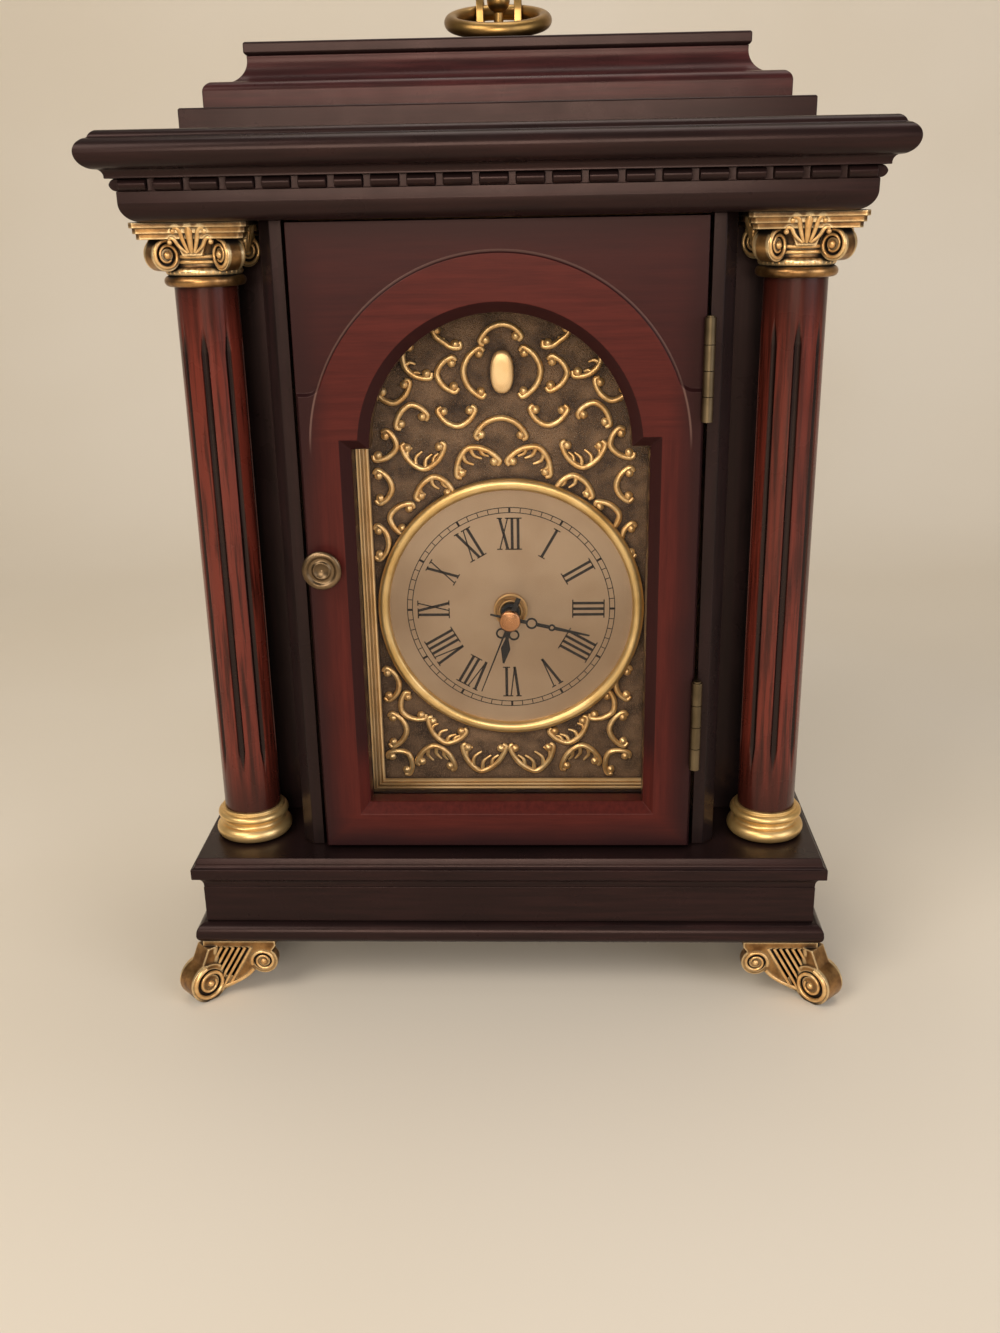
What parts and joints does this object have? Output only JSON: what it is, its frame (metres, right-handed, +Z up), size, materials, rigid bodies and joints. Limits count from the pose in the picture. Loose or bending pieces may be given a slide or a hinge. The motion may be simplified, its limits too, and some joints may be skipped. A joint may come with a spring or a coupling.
{
  "type": "mantel clock",
  "caption": "Architectural mantel clock with fluted columns, an arched glazed door, a dial, scroll feet and a ring handle.",
  "frame": {"origin": "on the surface that the feet stand on, under the middle of the clock's width and depth", "axes": "+X to the right as the clock is faced, +Y from front to back, +Z up"},
  "size_m": [0.292, 0.145, 0.411],
  "materials": {
    "dark_wood": "dark mahogany lacquer, satin",
    "door_wood": "red mahogany lacquer, satin",
    "column_wood": "red mahogany lacquer, satin",
    "inner_wood": "plain fibreboard",
    "antique_brass": "cast and antiqued",
    "bright_brass": "satin",
    "hinge_brass": "dull",
    "glass": "clear",
    "dial": "champagne, satin, printed",
    "hand_black": "black",
    "hand_cap": "spun",
    "plastic": "black, moulded",
    "battery": "plain sleeve",
    "steel": "zinc plated"
  },
  "bodies": {
    "case": {"back_hinge_case_leaves": "hinge_brass", "back_hinge_pins": "hinge_brass", "back_panel": "dark_wood", "base_bottom_board": "dark_wood", "base_top_board": "dark_wood", "battery": "battery", "cap_board": "dark_wood", "capital_left": "antique_brass", "capital_right": "antique_brass", "case_side_left": "dark_wood", "case_side_right": "dark_wood", "case_top_board": "dark_wood", "column_base_left": "bright_brass", "column_base_right": "bright_brass", "column_dowels": "inner_wood", "column_shaft_left": "column_wood", "column_shaft_right": "column_wood", "cornice_crown": "dark_wood", "cornice_fascia": "dark_wood", "crown_cove": "dark_wood", "crown_step": "dark_wood", "dentil_moulding": "dark_wood", "dial_backboard": "inner_wood", "dial_bezel": "bright_brass", "dial_disc": "dial", "dial_frame": "bright_brass", "dial_nut": "bright_brass", "door_hinge_pins": "hinge_brass", "foot_front_left": "antique_brass", "foot_front_right": "antique_brass", "foot_rear_left": "antique_brass", "foot_rear_right": "antique_brass", "foot_screws": "steel", "front_stile_left": "dark_wood", "front_stile_right": "dark_wood", "handle_post": "antique_brass", "lower_hinge_case_leaf": "hinge_brass", "magnet_catch": "plastic", "movement_case": "plastic", "ornament_plate": "antique_brass", "plinth_boards": "dark_wood", "recess_wall_left": "dark_wood", "recess_wall_right": "dark_wood", "upper_hinge_case_leaf": "hinge_brass"},
    "door": {"door_frame": "door_wood", "door_glass": "glass", "door_knob": "antique_brass", "door_knob_screw": "steel", "glass_bead": "dark_wood", "lower_hinge_door_leaf": "hinge_brass", "strike_plate": "steel", "upper_hinge_door_leaf": "hinge_brass"},
    "back_door": {"back_door": "dark_wood", "back_door_pull": "bright_brass", "back_hinge_door_leaves": "hinge_brass"},
    "hour_hand": {"hour_hand": "hand_black"},
    "minute_hand": {"minute_hand": "hand_black"},
    "second_hand": {"second_hand": "hand_cap"},
    "set_knob": {"set_knob": "plastic"},
    "ring_handle": {"ring_handle": "antique_brass"}
  },
  "joints": [
    {"name": "door_hinge", "type": "hinge", "parent": "case", "child": "door", "pos_m": [0.079, -0.0535, 0.2], "axis": [0, 0, 1], "range_deg": [0, 110]},
    {"name": "back_door_hinge", "type": "hinge", "parent": "case", "child": "back_door", "pos_m": [0.0664, 0.0702, 0.2], "axis": [0, 0, -1], "range_deg": [0, 100]},
    {"name": "ring_handle_pivot", "type": "hinge", "parent": "case", "child": "ring_handle", "pos_m": [0, 0.026, 0.4014], "axis": [-1, 0, 0], "range_deg": [0, 147]},
    {"name": "minute_hand_spin", "type": "hinge", "parent": "case", "child": "minute_hand", "pos_m": [0.0022, -0.026, 0.164], "axis": [0, 1, 0], "continuous": true},
    {"name": "hour_hand_spin", "type": "hinge", "parent": "case", "child": "hour_hand", "pos_m": [0.0022, -0.023, 0.164], "axis": [0, 1, 0], "continuous": true},
    {"name": "set_knob_spin", "type": "hinge", "parent": "case", "child": "set_knob", "pos_m": [0.0022, 0.012, 0.164], "axis": [0, 1, 0], "continuous": true},
    {"name": "second_hand_spin", "type": "hinge", "parent": "case", "child": "second_hand", "pos_m": [0.0022, -0.029, 0.164], "axis": [0, 1, 0], "continuous": true}
  ],
  "couplings": [
    {"joint": "hour_hand_spin", "follows": "minute_hand_spin", "ratio": 0.083333},
    {"joint": "set_knob_spin", "follows": "minute_hand_spin", "ratio": 1}
  ]
}
